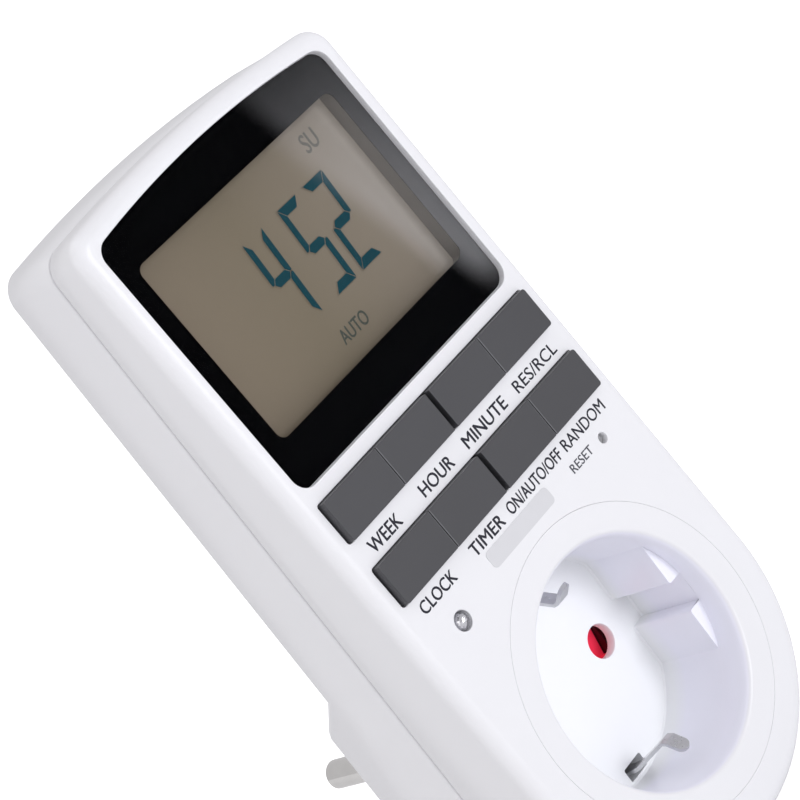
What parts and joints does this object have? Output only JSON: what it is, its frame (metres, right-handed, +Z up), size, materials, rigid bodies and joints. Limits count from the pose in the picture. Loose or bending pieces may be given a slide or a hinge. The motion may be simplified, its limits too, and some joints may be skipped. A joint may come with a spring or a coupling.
{
  "type": "plug-in digital timer",
  "caption": "Plug-in digital time switch: upright white housing with an arched top, a display window and press keys over a recessed earthed socket, and a round two-pin plug behind.",
  "frame": {"origin": "centre of the plug's end face, midway between the two pins", "axes": "+Y along the plug's pins towards the wall, +Z up towards the display end, +X to the viewer's right when facing the display"},
  "size_m": [0.06, 0.071, 0.1326],
  "materials": {
    "housing_plastic": "semi-gloss moulded white",
    "socket_plastic": "semi-gloss moulded white",
    "lens_plastic": "clear sheet printed black round its edge",
    "key_plastic": "fine matt dark grey",
    "switch_plastic": "moulded black",
    "board_green": "solder-masked circuit board",
    "screw_steel": "zinc plated",
    "lcd_glass": "brown-grey display glass",
    "holder_plastic": "moulded pale grey",
    "strip_rubber": "soft contact strip",
    "led_clear": "clear epoxy without colour",
    "blob_black": "potting resin",
    "battery_steel": "plated can",
    "ribbon_grey": "flat grey insulation",
    "relay_black": "moulded black case",
    "film_yellow": "yellow box case",
    "can_blue": "dark blue sleeve",
    "varistor_blue": "dipped blue coating",
    "resistor_green": "cement coating",
    "diode_black": "moulded body",
    "shutter_red": "moulded red",
    "spring_steel": "bright wire",
    "carrier_grey": "heat-resistant grey",
    "contact_brass": "pressed brass",
    "pin_nickel": "nickel plated brass",
    "earth_nickel": "nickel plated strip",
    "lead_brown": "brown insulation",
    "lead_black": "black insulation",
    "lead_blue": "blue insulation"
  },
  "bodies": {
    "housing": {"front_shell": "housing_plastic", "rear_shell": "housing_plastic", "socket_cup": "socket_plastic", "backup_battery": "battery_steel", "chip_blob": "blob_black", "contact_carrier": "carrier_grey", "contact_live": "contact_brass", "contact_neutral": "contact_brass", "contact_strip": "strip_rubber", "display_board": "board_green", "display_board_screws": "screw_steel", "display_lens": "lens_plastic", "earth_clips": "earth_nickel", "earth_link": "contact_brass", "electrolytic_capacitor": "can_blue", "film_capacitor": "film_yellow", "fusible_resistor": "resistor_green", "housing_screws": "screw_steel", "lcd_cell": "lcd_glass", "lcd_holder": "holder_plastic", "lead_live": "lead_brown", "lead_load": "lead_black", "lead_neutral": "lead_blue", "pin_live": "pin_nickel", "pin_neutral": "pin_nickel", "plug_earth_strips": "earth_nickel", "power_board": "board_green", "power_board_screws": "screw_steel", "rectifier_diodes": "diode_black", "relay": "relay_black", "ribbon_cable": "ribbon_grey", "shutter_spring": "spring_steel", "status_led": "led_clear", "tact_switches": "switch_plastic", "varistor": "varistor_blue"},
    "week_key": {"key_week": "key_plastic", "plunger_week": "switch_plastic"},
    "hour_key": {"key_hour": "key_plastic", "plunger_hour": "switch_plastic"},
    "minute_key": {"key_minute": "key_plastic", "plunger_minute": "switch_plastic"},
    "clear_key": {"key_clear": "key_plastic", "plunger_clear": "switch_plastic"},
    "clock_key": {"key_clock": "key_plastic", "plunger_clock": "switch_plastic"},
    "schedule_key": {"key_schedule": "key_plastic", "plunger_schedule": "switch_plastic"},
    "mode_key": {"key_mode": "key_plastic", "plunger_mode": "switch_plastic"},
    "random_key": {"key_random": "key_plastic", "plunger_random": "switch_plastic"},
    "reset": {"reset_button": "switch_plastic"},
    "shutter_plate": {"shutter": "shutter_red"}
  },
  "joints": [
    {"name": "week_press", "type": "slide", "parent": "housing", "child": "week_key", "axis": [0, 0.9973, -0.0732], "range_m": [0, 0.0003], "stiffness_N_per_m": 4000, "springref_m": -0.0001},
    {"name": "hour_press", "type": "slide", "parent": "housing", "child": "hour_key", "axis": [0, 0.9973, -0.0732], "range_m": [0, 0.0003], "stiffness_N_per_m": 4000, "springref_m": -0.0001},
    {"name": "minute_press", "type": "slide", "parent": "housing", "child": "minute_key", "axis": [0, 0.9973, -0.0732], "range_m": [0, 0.0003], "stiffness_N_per_m": 4000, "springref_m": -0.0001},
    {"name": "clear_press", "type": "slide", "parent": "housing", "child": "clear_key", "axis": [0, 0.9973, -0.0732], "range_m": [0, 0.0003], "stiffness_N_per_m": 4000, "springref_m": -0.0001},
    {"name": "clock_press", "type": "slide", "parent": "housing", "child": "clock_key", "axis": [0, 0.9973, -0.0732], "range_m": [0, 0.0003], "stiffness_N_per_m": 4000, "springref_m": -0.0001},
    {"name": "schedule_press", "type": "slide", "parent": "housing", "child": "schedule_key", "axis": [0, 0.9973, -0.0732], "range_m": [0, 0.0003], "stiffness_N_per_m": 4000, "springref_m": -0.0001},
    {"name": "mode_press", "type": "slide", "parent": "housing", "child": "mode_key", "axis": [0, 0.9973, -0.0732], "range_m": [0, 0.0003], "stiffness_N_per_m": 4000, "springref_m": -0.0001},
    {"name": "random_press", "type": "slide", "parent": "housing", "child": "random_key", "axis": [0, 0.9973, -0.0732], "range_m": [0, 0.0003], "stiffness_N_per_m": 4000, "springref_m": -0.0001},
    {"name": "reset_press", "type": "slide", "parent": "housing", "child": "reset", "axis": [0, 0.9973, -0.0732], "range_m": [0, 0.0003], "stiffness_N_per_m": 4000, "springref_m": -0.0001},
    {"name": "shutter_slide", "type": "slide", "parent": "housing", "child": "shutter_plate", "axis": [0, 0, 1], "range_m": [0, 0.0063], "stiffness_N_per_m": 40, "springref_m": -0.004, "deforming": ["shutter_spring"]}
  ]
}
